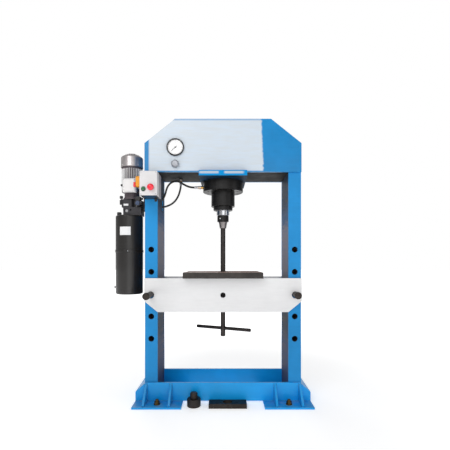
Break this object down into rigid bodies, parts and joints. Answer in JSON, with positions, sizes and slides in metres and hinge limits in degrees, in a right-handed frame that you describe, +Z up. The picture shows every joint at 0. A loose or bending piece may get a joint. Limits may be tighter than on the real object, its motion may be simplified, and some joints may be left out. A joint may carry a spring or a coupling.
{
  "type": "hydraulic shop press",
  "caption": "Motorised H-frame press: ram from a boxed crown, bed on pins between channel uprights, rod and cross bar for lifting the bed, power pack and control box.",
  "frame": {"origin": "on the floor under the axis of the ram, at the centre of the four anchor holes", "axes": "+Z up, -Y towards the operator, +X to the operator's right"},
  "size_m": [1.295, 0.569, 1.808],
  "materials": {
    "blue_paint": "gloss machine paint",
    "grey_paint": "satin light grey paint",
    "black_paint": "gloss black paint",
    "hard_chrome": "ground hard chrome",
    "dark_steel": "blackened steel",
    "table_steel": "bare oiled steel",
    "yellow_zinc": "yellow zinc plating",
    "seal_rubber": "matte",
    "hose_rubber": "satin",
    "brass": "turned brass",
    "gauge_black": "black enamel",
    "dial_white": "white dial card",
    "gauge_glass": "clear",
    "knob_grey": "pale grey plastic",
    "box_grey": "moulded plastic",
    "box_white": "moulded plastic",
    "button_green": "gloss",
    "button_red": "gloss",
    "contactor_grey": "moulded plastic",
    "block_grey": "dark anodised",
    "cap_black": "moulded plastic",
    "plug_steel": "machined",
    "motor_grey": "light grey paint on cast aluminium",
    "terminal_white": "off-white paint",
    "fan_cover_silver": "pressed sheet steel"
  },
  "bodies": {
    "frame": {"crown_front_plate": "blue_paint", "crown_rear_plate": "blue_paint", "crown_top_plate": "blue_paint", "cylinder_mount_plate": "blue_paint", "left_upright": "blue_paint", "right_upright": "blue_paint", "base_beams": "blue_paint", "base_end_plates": "blue_paint", "foot_plates": "blue_paint", "foot_ribs": "blue_paint", "pack_bracket": "blue_paint", "crown_bottom_plate": "black_paint", "cylinder_barrel": "black_paint", "cylinder_flange": "black_paint", "cylinder_gland": "black_paint", "oil_tank": "black_paint", "pin_tubes": "dark_steel", "cylinder_screws": "dark_steel", "levelling_screws": "yellow_zinc", "levelling_nuts": "yellow_zinc", "gland_seal": "seal_rubber", "pressure_hose": "hose_rubber", "return_hose": "hose_rubber", "hose_fittings": "brass", "gauge_case": "gauge_black", "gauge_dial": "dial_white", "gauge_glass": "gauge_glass", "control_box": "box_grey", "control_box_cover": "box_white", "contactor": "contactor_grey", "manifold_block": "block_grey", "solenoid_valve": "block_grey", "drain_plug": "plug_steel", "gear_pump": "plug_steel", "motor_body": "motor_grey", "terminal_box": "terminal_white", "fan_cover": "fan_cover_silver"},
    "ram": {"piston": "dark_steel", "piston_seal": "seal_rubber", "ram_rod": "hard_chrome", "ram_collar": "dark_steel", "ram_nose": "dark_steel"},
    "rod": {"lifting_rod": "dark_steel"},
    "cross_bar": {"tee_bar": "dark_steel"},
    "bed": {"bed_front_plate": "grey_paint", "bed_rear_plate": "grey_paint", "bed_spacers": "grey_paint"},
    "table": {"press_table": "table_steel"},
    "left_pin_body": {"left_pin": "dark_steel"},
    "right_pin_body": {"right_pin": "dark_steel"},
    "needle": {"gauge_needle": "gauge_black"},
    "gauge_valve": {"gauge_knob": "knob_grey"},
    "start": {"start_button": "button_green"},
    "stop": {"stop_button": "button_red"},
    "isolator": {"isolator_handle": "button_red"},
    "relief": {"relief_knob": "cap_black"},
    "filler": {"filler_cap": "cap_black"},
    "rotor": {"motor_rotor": "plug_steel"},
    "punch": {"press_punch": "dark_steel"},
    "die": {"die_plate": "dark_steel"}
  },
  "joints": [
    {"name": "ram_stroke", "type": "slide", "parent": "frame", "child": "ram", "axis": [0, 0, -1], "range_m": [0, 0.15]},
    {"name": "rod_turn", "type": "hinge", "parent": "ram", "child": "rod", "pos_m": [0, 0, 1.145], "axis": [0, 0, 1], "continuous": true},
    {"name": "bar_slide", "type": "slide", "parent": "rod", "child": "cross_bar", "axis": [0.9063, -0.4226, 0], "range_m": [-0.12, 0.12]},
    {"name": "bed_lift", "type": "slide", "parent": "frame", "child": "bed", "axis": [0, 0, 1], "range_m": [0, 0.007]},
    {"name": "table_lift", "type": "slide", "parent": "bed", "child": "table", "axis": [0, 0, 1], "range_m": [0, 0.1]},
    {"name": "left_pin_pull", "type": "slide", "parent": "frame", "child": "left_pin_body", "axis": [0, -1, 0], "range_m": [0, 0.35]},
    {"name": "right_pin_pull", "type": "slide", "parent": "frame", "child": "right_pin_body", "axis": [0, -1, 0], "range_m": [0, 0.4]},
    {"name": "needle_sweep", "type": "hinge", "parent": "frame", "child": "needle", "pos_m": [-0.303, -0.16, 1.625], "axis": [0, 1, 0], "range_deg": [0, 270]},
    {"name": "gauge_knob_turn", "type": "hinge", "parent": "frame", "child": "gauge_valve", "pos_m": [-0.303, -0.16, 1.517], "axis": [0, 1, 0], "range_deg": [0, 540]},
    {"name": "start_press", "type": "slide", "parent": "frame", "child": "start", "axis": [0, 1, 0], "range_m": [0, 0.005], "stiffness_N_per_m": 800},
    {"name": "stop_press", "type": "slide", "parent": "frame", "child": "stop", "axis": [0, 1, 0], "range_m": [0, 0.006], "stiffness_N_per_m": 1200},
    {"name": "isolator_turn", "type": "hinge", "parent": "frame", "child": "isolator", "pos_m": [-0.543, -0.196, 1.38], "axis": [1, 0, 0], "range_deg": [0, 90]},
    {"name": "relief_turn", "type": "hinge", "parent": "frame", "child": "relief", "pos_m": [-0.69, 0, 1.316], "axis": [0, 0, 1], "range_deg": [0, 720]},
    {"name": "filler_cap_lift", "type": "slide", "parent": "frame", "child": "filler", "axis": [0, 0, 1], "range_m": [0, 0.05]},
    {"name": "motor_spin", "type": "hinge", "parent": "frame", "child": "rotor", "pos_m": [-0.617, 0, 1.45], "axis": [0, 0, 1], "continuous": true},
    {"name": "punch_lift", "type": "slide", "parent": "frame", "child": "punch", "axis": [0, 0, 1], "range_m": [0, 0.15]},
    {"name": "die_lift", "type": "slide", "parent": "frame", "child": "die", "axis": [0, 0, 1], "range_m": [0, 0.15]}
  ]
}
